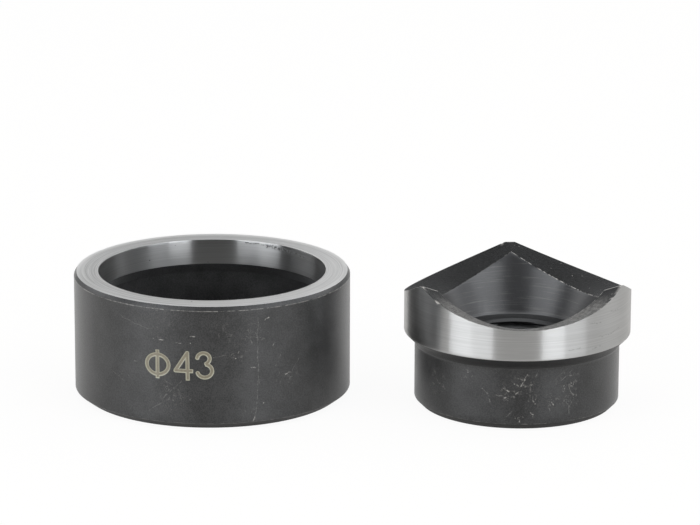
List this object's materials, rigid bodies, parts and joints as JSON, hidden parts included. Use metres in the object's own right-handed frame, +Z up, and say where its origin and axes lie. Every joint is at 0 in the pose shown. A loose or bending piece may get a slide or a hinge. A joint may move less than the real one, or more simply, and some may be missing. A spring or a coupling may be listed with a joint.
{
  "type": "knockout punch and die",
  "caption": "Punch and die that cut a round hole in sheet metal: a blackened steel die cup with a ground mouth, and a threaded punch with a notched, ground cutting crown.",
  "frame": {"origin": "centre of the pair's bounding box, on the plane that both pieces stand on", "axes": "+X along the row from the die to the punch, +Y away from the viewer of the picture, +Z up along both pieces' axes"},
  "size_m": [0.106, 0.054, 0.0254],
  "materials": {
    "blackened_steel": "black oxide, satin, with the mouth ground bright",
    "ground_steel": "ground bright round the cutting band, black oxide elsewhere"
  },
  "bodies": {
    "die": {"die": "blackened_steel"},
    "punch": {"punch": "ground_steel"}
  },
  "joints": [
    {"name": "punch_lift", "type": "slide", "parent": "die", "child": "punch", "axis": [0, 0, 1], "range_m": [0, 0.03]}
  ]
}
